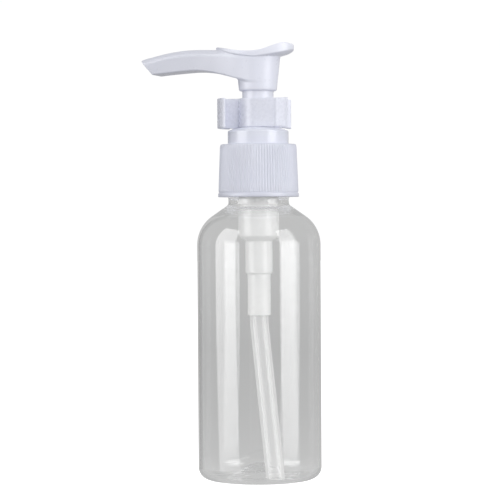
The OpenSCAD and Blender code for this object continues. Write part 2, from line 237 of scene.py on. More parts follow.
def surface_nets(field, low, high, cell_size, relax):
    """Closed quad mesh of the surface field = 0, negative inside, relaxed and settled on to it."""
    axes = [np.arange(low[i], high[i] + cell_size, cell_size) for i in range(3)]
    values = field(*np.meshgrid(*axes, indexing="ij"))
    inside = values < 0
    cells = tuple(n - 1 for n in values.shape)
    crossings = np.zeros(cells, np.int8)
    total = np.zeros(cells + (3,), np.float32)

    def at_corner(array, corner):
        return array[tuple(slice(c, c + n) for c, n in zip(corner, cells))]

    # one vertex in each cell the surface passes through, at the mean of its edge crossings
    for start in [(i, j, k) for i in (0, 1) for j in (0, 1) for k in (0, 1)]:
        for axis in range(3):
            if start[axis]:
                continue
            end = tuple(start[i] + (i == axis) for i in range(3))
            crossed = at_corner(inside, start) != at_corner(inside, end)
            value_0 = at_corner(values, start)[crossed]
            value_1 = at_corner(values, end)[crossed]
            share = value_0 / (value_0 - value_1)
            place = np.tile(np.array(start, np.float32), (len(share), 1))
            place[:, axis] += share
            total[crossed] += place
            crossings[crossed] += 1
    used = np.argwhere(crossings > 0)
    key = tuple(used.T)
    index = -np.ones(cells, np.int64)
    index[key] = np.arange(len(used))
    points = total[key] / crossings[key][:, None] + used
    points = points * cell_size + np.array([axis[0] for axis in axes])

    # one quad round each grid edge that crosses the surface
    quads = []
    for axis in range(3):
        across = [(axis + 1) % 3, (axis + 2) % 3]
        first, second = [slice(None)] * 3, [slice(None)] * 3
        first[axis], second[axis] = slice(0, -1), slice(1, None)
        starts_inside = inside[tuple(first)]
        edge = np.argwhere(starts_inside != inside[tuple(second)])
        keep = np.ones(len(edge), bool)
        for k in across:
            keep &= (edge[:, k] > 0) & (edge[:, k] < values.shape[k] - 1)
        edge = edge[keep]
        outward = starts_inside[tuple(edge.T)]
        ring = []
        for du, dv in ((0, 0), (1, 0), (1, 1), (0, 1)):
            cell = edge.copy()
            cell[:, across[0]] -= du
            cell[:, across[1]] -= dv
            ring.append(index[tuple(cell.T)])
        quad = np.stack(ring, 1)
        quad[~outward] = quad[~outward][:, ::-1]
        quads.append(quad)
    quads = np.concatenate(quads)

    points = settle(field, points, cell_size)
    sides = np.concatenate([quads[:, [i, (i + 1) % 4]] for i in range(4)])
    for _ in range(relax):
        sums = np.zeros_like(points)
        counts = np.zeros(len(points))
        for a, b in ((0, 1), (1, 0)):
            np.add.at(sums, sides[:, a], points[sides[:, b]])
            np.add.at(counts, sides[:, a], 1)
        points = points + 0.5 * (sums / counts[:, None] - points)
        points = settle(field, points, cell_size)
    return points, [tuple(quad) for quad in quads.tolist()]


def stroke(x, y, path, radii):
    """Distance to a path drawn with a pen whose radius changes along it."""
    distance = np.full(np.broadcast(x, y).shape, 1e9)
    stops = list(zip(path, radii))
    for ((ax, ay), ra), ((bx, by), rb) in zip(stops[:-1], stops[1:]):
        dx, dy = bx - ax, by - ay
        t = np.clip(((x - ax) * dx + (y - ay) * dy) / (dx * dx + dy * dy), 0, 1)
        gap = np.hypot(x - ax - t * dx, y - ay - t * dy) - ra - (rb - ra) * t
        distance = np.minimum(distance, gap)
    return distance


def section(r, z, outline):
    """Signed distance to a closed outline in the r-z plane."""
    points = np.array(outline, float)
    squared = np.full(r.shape, 1e9)
    inside = np.zeros(r.shape, bool)
    for i in range(len(points)):
        a, b = points[i - 1], points[i]
        dr, dz = side = b - a
        t = np.clip(((r - a[0]) * dr + (z - a[1]) * dz) / max(side @ side, 1e-12), 0, 1)
        squared = np.minimum(squared, (r - a[0] - t * dr) ** 2 + (z - a[1] - t * dz) ** 2)
        spans = (a[1] > z) != (b[1] > z)
        inside ^= spans & (r < a[0] + (z - a[1]) * dr / (dz if dz else 1e-12))
    return np.where(inside, -1, 1) * np.sqrt(squared)


# ---------------------------------------------------------------- shader nodes


class Nodes:
    """Builds the node tree of a material or a world."""

    def __init__(self, owner, output="ShaderNodeOutputMaterial"):
        self.owner = owner
        owner.use_nodes = True
        self.tree = owner.node_tree
        self.tree.nodes.clear()
        self.output = self.node(output)
        self.coord_node = None

    def node(self, kind, inputs=None, **settings):
        """A node; each input, by name or index, takes a value or a socket to link."""
        node = self.tree.nodes.new(kind)
        for name, value in settings.items():
            setattr(node, name, value)
        for key, value in (inputs or {}).items():
            if isinstance(value, bpy.types.NodeSocket):
                self.tree.links.new(value, node.inputs[key])
            else:
                node.inputs[key].default_value = value
        return node

    def add(self, kind, inputs=None, output=0, **settings):
        """One output of a new node."""
        return self.node(kind, inputs, **settings).outputs[output]

    def coords(self, space="Object"):
        if self.coord_node is None:
            self.coord_node = self.node("ShaderNodeTexCoord")
        return self.coord_node.outputs[space]

    def xyz(self, space="Object"):
        return self.node("ShaderNodeSeparateXYZ", {"Vector": self.coords(space)}).outputs

    def noise(self, scale, detail, stretch=(1, 1, 1)):
        vector = self.add("ShaderNodeMapping", {"Scale": stretch, "Vector": self.coords()})
        inputs = {"Scale": scale, "Detail": detail, "Vector": vector}
        return self.add("ShaderNodeTexNoise", inputs, "Fac")

    def remap(self, value, to, source=(0.0, 1.0)):
        return self.add("ShaderNodeMapRange", {
            "From Min": source[0], "From Max": source[1],
            "To Min": to[0], "To Max": to[1], "Value": value}, "Result")

    def mix(self, share, a, b):
        return self.add("ShaderNodeMix", {0: share, 6: a, 7: b}, 2, data_type="RGBA")

    def math(self, operation, a, b=0.0):
        return self.add("ShaderNodeMath", {0: a, 1: b}, operation=operation)

    def bump(self, height, strength, distance, over=None):
        inputs = {"Strength": strength, "Distance": distance, "Height": height}
        if over:
            inputs["Normal"] = over
        return self.add("ShaderNodeBump", inputs, "Normal")

    def emission(self, strength, colour=(1, 1, 1, 1)):
        return self.add("ShaderNodeEmission", {"Color": colour, "Strength": strength})

    def add_shaders(self, a, b):
        return self.add("ShaderNodeAddShader", {0: a, 1: b})

    def mix_shaders(self, share, a, b):
        return self.add("ShaderNodeMixShader", {0: share, 1: a, 2: b})

    def glow_behind_clear(self, shader, strength):
        """Painted backlight: an emission seen through the clear neck or in a mirror, but not
        directly.
        """
        rays = self.node("ShaderNodeLightPath").outputs
        plain = self.math("MAXIMUM", rays["Is Camera Ray"], rays["Is Diffuse Ray"])
        glow = self.math("MULTIPLY", self.math("SUBTRACT", 1.0, plain), strength)
        return self.add_shaders(shader, self.emission(glow))

    def finish(self, shader):
        self.tree.links.new(shader, self.output.inputs["Surface"])
        return self.owner


def new_material(name):
    return Nodes(bpy.data.materials.new(name))


def tint(colour, factor=1.0):
    """An RGBA colour scaled by one factor or three, held at white."""
    return np.minimum(1.0, np.multiply(colour, factor)).tolist() + [1.0]


# ---------------------------------------------------------------- materials


def moulded_white(name, base, rough, sss, grain=1.0, coat=0.0, edge_highlight_crease_shade=1.0, inside=0.0, spout_shade=1.0):
    """Moulded white polypropylene: slight tone drift, satin gloss, fine skin, rougher edges,
    painted highlights on edges and painted shade in hollows.

    sss is the subsurface weight, grain the strength of the skin texture, rub the strength of the
    painted highlight on edges and the painted shade in hollows, inside the strength of the painted
    glow seen through the clear neck, thin the tone of the painted shade on the spout.
    """
    k = new_material(name)
    drift = k.noise(scale=60, detail=3)
    specks = k.noise(scale=900, detail=2)
    cool, warm = tint(base, (0.988, 0.99, 0.997)), tint(base, (1.006, 1.005, 1.0))
    tone = k.mix(k.remap(drift, to=(0, 1), source=(0.35, 0.65)), cool, warm)
    pointed = k.add("ShaderNodeNewGeometry", output="Pointiness")
    edge = k.remap(pointed, to=(0, 1), source=(0.515, 0.56))
    hollow = k.remap(pointed, to=(1, 0), source=(0.44, 0.49))
    # painted highlight on sharp edges and painted shade in hollows, both scaled by rub
    tone = k.mix(k.math("MULTIPLY", edge, 0.35 * edge_highlight_crease_shade), tone, tint(base, 1.06))
    tone = k.mix(k.math("MULTIPLY", hollow, 0.3 * edge_highlight_crease_shade), tone, tint(base, 0.9))
    if spout_shade != 1.0:
        # painted shade: the spout's tone is darkened towards -X so it shows a little darker than
        # the boss
        along = k.remap(k.xyz()["X"], to=(1, 0), source=(-0.014, -0.003))
        tone = k.mix(along, tone, tint(base, spout_shade))
    gloss = k.remap(specks, to=(rough - 0.03, rough + 0.04), source=(0.3, 0.7))
    skin = k.bump(k.noise(scale=4200, detail=2), strength=0.10 * grain, distance=0.00002)
    wave = k.bump(k.noise(scale=140, detail=1), strength=0.16 * grain, distance=0.00012, over=skin)
    shader = k.add("ShaderNodeBsdfPrincipled", {
        "Base Color": tone,
        "Roughness": k.math("ADD", gloss, k.math("MULTIPLY", edge, 0.06)),
        "IOR": 1.49,
        "Specular IOR Level": 0.5,
        "Subsurface Weight": sss,
        "Subsurface Radius": (0.0022, 0.002, 0.0019),
        "Subsurface Scale": 1.0,
        "Coat Weight": coat,
        "Coat Roughness": 0.12,
        "Normal": wave,
    })
    if inside:
        # painted glow: an emission, seen through the clear neck, stands in for light from behind
        shader = k.glow_behind_clear(shader, inside)
    return k.finish(shader)


def milky(name, base, through, translucent, lit=0.0, through_edge=None, gloss=0.0, ripple=0.3):
    """Unpigmented polypropylene or polyethylene: milky, lets light through, a little see-through.

    through is how see-through the wall is, through_edge the same where it is seen edge on,
    lit the strength of a painted glow that stands in for light scattered round inside it,
    gloss the weight of the mirror reflection.
    """
    k = new_material(name)
    tone = k.mix(k.noise(scale=120, detail=3), tint(base, 0.97), tint(base))
    normal = k.bump(k.noise(scale=2200, detail=2), strength=0.12, distance=0.00003)
    lines = k.noise(scale=260, detail=2, stretch=(1, 1, 0.12))
    normal = k.bump(lines, strength=ripple, distance=0.0001, over=normal)
    solid = k.add("ShaderNodeBsdfPrincipled", {
        "Base Color": tone,
        "Roughness": k.remap(k.noise(scale=700, detail=2), to=(0.25, 0.36), source=(0.3, 0.7)),
        "IOR": 1.49,
        "Normal": normal,
    })
    shader = k.mix_shaders(translucent, solid, k.add("ShaderNodeBsdfTranslucent", {"Color": tone}))
    rays = k.node("ShaderNodeLightPath").outputs
    if lit:
        # painted glow: an emission in place of the light scattered round inside the wall
        strength = k.math("MULTIPLY", k.math("SUBTRACT", 1.0, rays["Is Diffuse Ray"]), lit)
        shader = k.add_shaders(shader, k.emission(strength, tone))
    if through_edge is not None:
        facing = k.add("ShaderNodeLayerWeight", {"Blend": 0.5}, "Facing")
        through = k.remap(facing, to=(through, through_edge), source=(0.1, 0.85))
    see = k.math("MAXIMUM", k.math("MULTIPLY", rays["Is Shadow Ray"], 0.55), through)
    shader = k.mix_shaders(see, shader, k.add("ShaderNodeBsdfTransparent"))
    if gloss:
        mirror = k.add("ShaderNodeBsdfGlossy", {"Roughness": 0.16, "Normal": normal})
        fresnel = k.add("ShaderNodeFresnel", {"IOR": 1.45})
        behind = k.add("ShaderNodeNewGeometry", output="Backfacing")
        front = k.math("SUBTRACT", 1.0, behind)
        share = k.math("MULTIPLY", k.math("MULTIPLY", fresnel, gloss), front)
        shader = k.mix_shaders(k.math("MINIMUM", share, 0.35), shader, mirror)
    return k.finish(shader)


def clear_pet(name):
    """Blown PET: colourless and glossy, with faint vertical drawing lines and slow ripples."""
    k = new_material(name)
    lines = k.noise(scale=90, detail=2, stretch=(1, 1, 0.05))
    normal = k.bump(lines, strength=0.5, distance=0.00012)
    normal = k.bump(k.noise(scale=35, detail=1), strength=0.25, distance=0.0003, over=normal)
    # flow marks round the push-up, fading out above the heel
    place = k.xyz()
    squares = [k.math("MULTIPLY", place[axis], place[axis]) for axis in "XY"]
    radius = k.math("SQRT", k.math("ADD", *squares))
    low = k.remap(place["Z"], to=(1.0, 0.0), source=(0.004, 0.009))
    near_axis = k.remap(radius, to=(1.0, 0.0), source=(0.011, 0.0165))
    foot = k.math("MULTIPLY", low, near_axis)
    marks = k.math("MULTIPLY", k.noise(scale=260, detail=2), foot)
    normal = k.bump(marks, strength=0.4, distance=0.0006, over=normal)
    glass = k.add("ShaderNodeBsdfPrincipled", {
        "Base Color": (0.975, 0.977, 0.977, 1),
        "Transmission Weight": 1.0,
        "IOR": 1.42,
        "Roughness": k.remap(k.noise(scale=300, detail=2), to=(0.0, 0.03), source=(0.45, 0.75)),
        "Normal": normal,
    })
    clear = k.add("ShaderNodeBsdfTransparent", {"Color": (0.98, 0.982, 0.982, 1)})
    rays = k.node("ShaderNodeLightPath").outputs
    skip = k.math("MAXIMUM", rays["Is Shadow Ray"], rays["Is Diffuse Ray"])
    # painted light: past ten bounces an even grey emission stands in for the light
    # piped a long way inside the thick neck root and heel
    piped = k.emission(0.46, (0.99, 1.0, 1.0, 1))
    deep = k.math("GREATER_THAN", rays["Ray Depth"], 10.5)
    return k.finish(k.mix_shaders(skip, k.mix_shaders(deep, glass, piped), clear))


def foam(name, base):
    k = new_material(name)
    bubbles = k.add("ShaderNodeTexVoronoi", {"Scale": 2500, "Vector": k.coords()}, "Distance",
                    feature="F1")
    shader = k.add("ShaderNodeBsdfPrincipled", {
        "Base Color": k.mix(bubbles, tint(base), tint(base, 0.86)),
        "Roughness": k.remap(k.noise(scale=500, detail=2), to=(0.6, 0.8)),
        "Normal": k.bump(bubbles, strength=0.4, distance=0.0001),
    })
    # painted glow on the gasket, seen through the clear neck
    return k.finish(k.glow_behind_clear(shader, 0.5))


def drawn_wire(name):
    k = new_material(name)
    streak = k.noise(scale=1500, detail=3, stretch=(1, 1, 0.2))
    return k.finish(k.add("ShaderNodeBsdfPrincipled", {
        "Base Color": k.mix(streak, (0.50, 0.51, 0.53, 1), (0.70, 0.71, 0.73, 1)),
        "Metallic": 1.0,
        "Roughness": k.remap(k.noise(scale=2600, detail=2), to=(0.18, 0.36)),
        "Normal": k.bump(streak, strength=0.25, distance=0.00003),
    }))


def ball_glass(name):
    k = new_material(name)
    cloud = k.noise(scale=400, detail=2)
    return k.finish(k.add("ShaderNodeBsdfPrincipled", {
        "Base Color": k.mix(cloud, (0.85, 0.9, 0.9, 1), (0.95, 0.97, 0.97, 1)),
        "Transmission Weight": 0.8,
        "IOR": 1.52,
        "Roughness": k.remap(k.noise(scale=1500, detail=2), to=(0.02, 0.08)),
        "Normal": k.bump(k.noise(scale=900, detail=2), strength=0.05, distance=0.00002),
    }))


CLOSURE_WHITE = moulded_white("closure_white", (0.675, 0.692, 0.785), rough=0.33, sss=0.03,
                              edge_highlight_crease_shade=0.2, inside=0.45, grain=0.6)
COLLAR_WHITE = moulded_white("collar_white", (0.762, 0.78, 0.865), rough=0.22, sss=0.04, coat=0.15)
CLIP_WHITE = moulded_white("clip_white", (0.765, 0.78, 0.868), rough=0.27, sss=0.04,
                           edge_highlight_crease_shade=0.0, grain=0.08)
# the head's base is lighter than the other whites as painted light, making up for the shade cast on
# the boss by the pad above it
HEAD_WHITE = moulded_white("head_white", (0.835, 0.85, 0.945), rough=0.30, sss=0.05,
                           edge_highlight_crease_shade=0.25, grain=0.7, spout_shade=0.80)
STEM_WHITE = moulded_white("stem_white", (0.82, 0.832, 0.91), rough=0.24, sss=0.04)
BOTTLE_CLEAR = clear_pet("bottle_clear")
HOUSING_MILKY = milky("housing_milky", (0.93, 0.93, 0.925), through=0.08, translucent=0.4,
                      lit=0.17, gloss=0.6)
TUBE_MILKY = milky("tube_milky", (0.95, 0.948, 0.945), through=0.86, translucent=0.4,
                   lit=0.17, through_edge=0.35, gloss=0.8, ripple=0.04)
PISTON_MILKY = milky("piston_milky", (0.93, 0.93, 0.93), through=0.04, translucent=0.3)
ROD_MILKY = milky("rod_milky", (0.92, 0.92, 0.93), through=0.04, translucent=0.3)
GASKET_FOAM = foam("gasket_foam", (0.9, 0.9, 0.88))
SPRING_WIRE = drawn_wire("spring_wire")
BALL_GLASS = ball_glass("ball_glass")


# ---------------------------------------------------------------- bottle


def pushup(r):
    """Height of the raised middle of the base."""
    return 0.0 if r >= PUSHUP_R else PUSHUP_HEIGHT * (1 + math.cos(math.pi * r / PUSHUP_R)) / 2


def thread_height(theta, z, start, turns):
    """0 to 1 across a ridge that winds up from the height start."""
    angle = np.degrees(theta) % 360
    best = np.zeros(np.broadcast(theta, z).shape)
    for lap in range(math.ceil(turns) + 1):
        run = angle + 360 * lap
        ends = np.clip(np.minimum(run, 360 * turns - run) / THREAD_FADE, 0, 1)
        off = np.abs(z - start - PITCH * run / 360)
        flank = np.clip((THREAD_HALF_WIDTH - off) / THREAD_FLANK, 0, 1)
        best = np.maximum(best, ends * flank)
    return best * best * (3 - 2 * best)


def bottle_outside():
    """Outline (r, z) from the middle of the base up to the rim."""
    shoulder_r = BOTTLE_R - SHOULDER_R
    sweep = math.radians(OUTER_SWEEP)
    cone_r = shoulder_r + SHOULDER_R * math.cos(sweep)
    cone_z = SHOULDER_Z + SHOULDER_R * math.sin(sweep)
    neck_z = cone_z + (cone_r - NECK_R) * math.tan(math.pi / 2 - sweep)
    fillet_z = neck_z + NECK_FILLET * math.tan(sweep / 2)
    return (
        [(r, pushup(r)) for r in np.arange(0, PUSHUP_R + 0.01, 0.5)]
        + [(13.5, 0.0), (15.0, 0.0)]
        + arc(BOTTLE_R - HEEL_R, HEEL_R, HEEL_R, -90, 0, 20)
        + [(BOTTLE_R, z) for z in np.linspace(8, 74, 12)]
        + arc(shoulder_r, SHOULDER_Z, SHOULDER_R, 0, OUTER_SWEEP, 30)
        + arc(NECK_R + NECK_FILLET, fillet_z, NECK_FILLET, 180 + OUTER_SWEEP, 180, 10)
        # step and bead under the thread
        + [(NECK_R, 93.1), (10.12, 93.35), (10.5, 94.0), (FINISH_R, 94.35), (11.2, 94.5),
           (11.42, 94.66), (11.5, 94.85), (11.5, 95.25), (11.42, 95.44), (11.2, 95.6),
           (FINISH_R, 95.8)]
        + [(FINISH_R, z) for z in np.arange(96.5, 98.9, 0.8)]
        + [(FINISH_R, z) for z in np.arange(99.1, 106.3, 0.12)]
        + [(FINISH_R, LAND_Z - 0.45), (FINISH_R - 0.12, LAND_Z - 0.15), (FINISH_R - 0.4, LAND_Z)]
    )


def bottle_inside():
    """Outline (r, z) from the rim down to the middle of the base."""
    heel_r = HEEL_R - WALL
    return (
        [(BORE_R + 0.2, LAND_Z), (BORE_R + 0.05, LAND_Z - 0.06), (BORE_R, LAND_Z - 0.2)]
        + [(BORE_R, z) for z in np.linspace(105, 90.7, 9)]
        # neck root
        + [(BORE_R + 0.015, 90.35), (BORE_R + 0.1, 90.05), (BORE_R + 0.25, 89.86),
           (BORE_R + 0.5, 89.74), (9.9, 89.62), (10.4, 89.52), (10.9, 89.36), (11.3, 89.18),
           (11.8, 88.92)]
        + arc(BOTTLE_R - SHOULDER_R, SHOULDER_Z, SHOULDER_R - WALL, INNER_SWEEP, 0, 36)
        + [(BOTTLE_R - WALL, z) for z in np.linspace(74, 8, 12)]
        + arc(BOTTLE_R - HEEL_R, FLOOR + heel_r, heel_r, 0, -90, 20)
        + [(15.0, FLOOR), (13.5, FLOOR)]
        + [(r, pushup(r) + FLOOR) for r in np.arange(PUSHUP_R, -0.01, -0.5)]
    )


def make_bottle():
    segments = 288
    outside = bottle_outside()
    count = len(outside)
    points = np.array(outside + bottle_inside(), float)
    r, z = points[:count].T
    theta = np.arange(segments) * TAU / segments
    radii = np.repeat(points[:, :1], segments, 1)
    heights = np.repeat(points[:, 1:], segments, 1)
    outer_radii = radii[:count]
    lift = thread_height(theta[None, :], heights[:count], THREAD_Z, turns=1.5)
    on_finish = np.abs(outer_radii - FINISH_R) < 1e-6
    outer_radii += np.where(on_finish, lift * (THREAD_R - FINISH_R), 0)
    # the vertical mould lines at +Y and -Y, and the gate mark under the base
    to_line = np.minimum(np.abs(theta - 0.5 * math.pi), np.abs(theta - 1.5 * math.pi))
    outer_radii[(r > 13) & (z < 92)] += 0.02 * np.exp(-((to_line / 0.012) ** 2))[None, :]
    gate_r = 1.3
    gate = r < gate_r
    heights[:count][gate] -= 0.35 * (1 - (r[gate] / gate_r) ** 2)[:, None]
    build("bottle_wall", *lathe_grid(radii, heights, False), body="bottle", node="bottle",
          slot="clear_pet", material=BOTTLE_CLEAR, sharp=40)


# ---------------------------------------------------------------- closure


def make_closure():
    segments = RIBS * STEPS_PER_RIB

    def root(z):
        """Radius between the ribs, on the tapered side."""
        low_z, high_z, low_r, high_r = 95.4, 110.35, 13.30, 12.72
        return low_r + (high_r - low_r) * (z - low_z) / (high_z - low_z) - RIB_DEPTH

    # r, z, share of the rib depth
    rows = [
        # bottom band
        (13.12, CLOSURE_Z, 0), (13.32, CLOSURE_Z + 0.05, 0), (13.43, CLOSURE_Z + 0.18, 0),
        (13.45, CLOSURE_Z + 0.35, 0), (13.42, 94.6, 0), (13.36, 94.85, 0), (13.26, 95.02, 0),
        (13.1, 95.16, 0), (root(95.3), 95.28, 0),
    ]
    # ribbed side: z, share
    side = [(95.45, 0.25), (95.6, 0.75), (95.8, 1.0), (98, 1), (101, 1), (104, 1), (107, 1),
            (109, 1), (109.9, 1.0), (110.25, 0.9)]
    rows += [(root(z), z, share) for z, share in side]
    rows += [
        # top edge and top
        (12.53, 110.6, 0.7), (12.51, 110.85, 0.4), (12.44, 111.03, 0.1), (12.3, 111.15, 0),
        (12.12, CLOSURE_TOP, 0), (9.6, CLOSURE_TOP, 0), (7.95, CLOSURE_TOP, 0),
        # hole in the top, and the underside
        (7.78, CLOSURE_TOP - 0.08, 0), (7.7, CLOSURE_TOP - 0.25, 0), (7.7, 109.7, 0),
        (7.78, 109.55, 0), (8.0, 109.5, 0), (11.1, 109.5, 0), (11.3, 109.3, 0), (11.3, 108.0, 0),
        (11.3, 107.1, 0), (11.34, 107.0, 0), (11.7, 106.6, 0), (CLOSURE_BORE, 106.15, 0),
    ]
    bore_row = len(rows)
    rows += [(CLOSURE_BORE, z, 0) for z in np.arange(105.9, 97.3, -0.14)]
    rows += [(CLOSURE_BORE, 96.5, 0), (CLOSURE_BORE, 95.0, 0), (12.08, 94.1, 0),
             (12.25, CLOSURE_Z + 0.1, 0), (12.45, CLOSURE_Z, 0)]
    points = np.array(rows, float)
    theta = np.arange(segments) * TAU / segments
    rib = (0.5 + 0.5 * np.cos(theta * RIBS)) ** 1.35
    radii = points[:, :1] + RIB_DEPTH * points[:, 2:3] * rib[None, :]
    heights = np.repeat(points[:, 1:2], segments, 1)
    bore = radii[bore_row:]
    lift = thread_height(theta[None, :], heights[bore_row:], THREAD_Z - 1.45, turns=420 / 360)
    on_bore = np.abs(bore - CLOSURE_BORE) < 1e-6
    bore -= np.where(on_bore, lift * (CLOSURE_BORE - CLOSURE_THREAD_R), 0)
    build("closure_shell", *lathe_grid(radii, heights, True), body="closure", node="closure",
          slot="white_pp", material=CLOSURE_WHITE, sharp=50)


# ---------------------------------------------------------------- pump, turned pieces


def dome(radius_squared):
    """Height of the collar's domed top."""
    return DOME_TOP - DOME_FALL * radius_squared


# closed outlines: r, z, fillet radius
GASKET = [(9.0, 107.0, 0.12), (11.0, 107.0, 0.12), (11.0, 108.0, 0.12), (9.0, 108.0, 0.12)]
HOUSING = [
    (3.12, 54.5, 0.1), (3.85, 54.5, 0.15), (3.85, 68.0, 0.3), (4.53, 68.6, 0.3), (4.53, 79.1, 0.3),
    (6.45, 80.4, 0.4), (6.8, 80.9, 0.3), (6.8, 98.2, 0.4), (8.25, 99.4, 0.3), (8.25, 108, 0.15),
    (11, 108, 0.12), (11, 109.45, 0.15), (7.6, 109.45, 0.15), (7.35, 109.1, 0.1),
    (7.35, 107.1, 0.1), (7.6, 106.85, 0.1), (7.6, 105.6, 0.1), (7.35, 105.35, 0.1),
    (7.35, 99.1, 0.2), (5.9, 98.4, 0.2), (5.9, 81.3, 0.2), (3.75, 80.1, 0.2), (3.75, 70.2, 0.1),
    (2.1, 70.2, 0.1), (2.1, 69.2, 0.1), (2.75, 69.2, 0.1), (2.75, 66.6, 0.1), (1.6, 65.2, 0.1),
    (1.6, 63.7, 0.1), (3.12, 63.7, 0.1),
]
COLLAR = [
    (5.3, 99.75, 0.1), (5.5, 99.55, 0.1), (7.1, 99.55, 0.1), (7.3, 99.75, 0.1), (7.3, 105.5, 0.1),
    (7.5, 105.9, 0.1), (7.5, 106.5, 0.1), (7.3, 106.9, 0.1), (7.3, 114.4, 0.2), (8.9, 114.4, 0.2),
    (8.9, 111.25, 0.1), (10.1, 111.25, 0.12), (10.1, 115.6, 0.95),
    (9.35, dome(9.35**2) - 0.12, 0.5),
    *[(r, dome(r * r)) for r in (8.4, 7.6, 6.8, 6.2)],
    (5.75, dome(5.75**2), 0.2), (5.3, dome(5.5**2) - 0.2, 0.15),
]
STEM = [
    (3.6, 98.4, 0.1), (5.5, 98.4, 0.1), (5.65, 98.55, 0.08), (5.65, 99.3, 0.08), (5.5, 99.45, 0.08),
    (5.2, 99.45, 0.08), (5.2, 117), (5.2, 126), (5.2, 134.6, 0.15), (4.9, 134.9, 0.1),
    (3.6, 134.9, 0.1), (3.6, 120), (3.6, 105),
]
PISTON = [
    (2.55, 94.1, 0.06), (3.4, 94.1, 0.08), (3.5, 94.3, 0.08), (3.5, 95.0, 0.15), (4.9, 95.0, 0.3),
    (5.5, 93.1, 0.08), (5.86, 93.25, 0.08), (5.86, 93.9, 0.2), (5.55, 94.5, 0.2), (5.55, 95.6, 0.2),
    (5.86, 96.2, 0.2), (5.86, 96.7, 0.08), (5.5, 96.9, 0.08), (4.95, 96.2, 0.2), (3.5, 96.2, 0.2),
    (3.5, 101.0, 0.1), (3.3, 101.2, 0.08), (2.55, 101.2, 0.1),
]


def make_turned_pieces():
    lathe("gasket_ring", GASKET, body="pump", node="gasket", slot="soft_pe",
          material=GASKET_FOAM, segments=128)
    lathe("housing_cylinder", HOUSING, body="pump", node="housing", slot="natural_pp",
          material=HOUSING_MILKY, segments=192)
    lathe("collar_ring", COLLAR, body="pump", node="collar", slot="white_pp",
          material=COLLAR_WHITE, segments=224, sharp=50)
    lathe("stem_pipe", STEM, body="head", node="stem", slot="white_pp",
          material=STEM_WHITE, segments=192)
    lathe("piston_lips", PISTON, body="piston", node="piston", slot="natural_pe",
          material=PISTON_MILKY)
    ball = [(0.0, BALL_Z - BALL_R), *arc(0, BALL_Z, BALL_R, -86.25, 86.25, 46),
            (0.0, BALL_Z + BALL_R)]
    lathe("ball_bead", ball, body="ball", node="check_ball", slot="ball_glass",
          material=BALL_GLASS, closed=False, segments=64, sharp=None)


# ---------------------------------------------------------------- piston rod

# half outline: r, z
ROD = [(0, 88.9), (2.2, 88.9), (2.5, 89.3), (2.5, 91.9), (3.4, 91.9), (3.55, 92.05), (3.55, 93.6),
       (3.3, 94.05), (2.4, 94.05), (2.4, 103.6), (3.58, 104.4), (3.58, 112.4), (3.1, 113), (0, 113)]
ROD_BOTH_SIDES = [(-r, z) for r, z in reversed(ROD) if r > 0] + ROD


def rod_field(x, y, z):
    """The turned rod less four slots, which leave a core in its upper part."""
    core, half_slot, slot_foot = 1.5, 0.8, 95.6
    slots = np.minimum(
        np.maximum(np.abs(y) - half_slot, core - np.abs(x)),
        np.maximum(np.abs(x) - half_slot, core - np.abs(y)),
    )
    slots = smooth_max(slots, slot_foot - z, 0.3)
    return smooth_max(section(np.hypot(x, y), z, ROD_BOTH_SIDES), -slots, 0.2)


def make_rod():
    verts, faces = surface_nets(rod_field, (-4.0, -4.0, 88.3), (4.0, 4.0, 113.6),
                                cell_size=0.2, relax=2)
    build("rod_plug", verts, faces, body="rod", node="piston_rod", slot="natural_pp",
          material=ROD_MILKY, sharp=45)


# ---------------------------------------------------------------- spring


def make_spring():
    """A round-wire coil whose first and last turns lie close."""
    steps, sides = COILS * 48, 14
    low, high = SPRING_FOOT + WIRE_R, SPRING_FOOT + SPRING_LENGTH - WIRE_R
    t = np.linspace(0, 1, steps + 1)
    turn, rise = 1 / COILS, 2 * WIRE_R + 0.05
    open_part = low + rise + (high - low - 2 * rise) * (t - turn) / (1 - 2 * turn)
    z = np.where(t > 1 - turn, high - rise * (1 - t) / turn, open_part)
    z = np.where(t < turn, low + rise * t / turn, z)
    angle = TAU * COILS * t
    verts, faces = [], []
    for i in range(steps + 1):
        for k in range(sides):
            around = TAU * k / sides
            r = SPRING_R + WIRE_R * math.cos(around)
            verts.append((r * math.cos(angle[i]), r * math.sin(angle[i]),
                          z[i] + WIRE_R * math.sin(around)))
    for i in range(steps):
        for k in range(sides):
            a, b = sides * i + k, sides * i + (k + 1) % sides
            faces.append((a, a + sides, b + sides, b))
    faces.append(tuple(range(sides)))
    faces.append(tuple(sides * steps + k for k in reversed(range(sides))))
    spring = build("spring_coil", verts, faces, body="pump", node="spring", slot="spring_steel",
                   material=SPRING_WIRE, sharp=50)
    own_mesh(spring)


# ---------------------------------------------------------------- dip tube


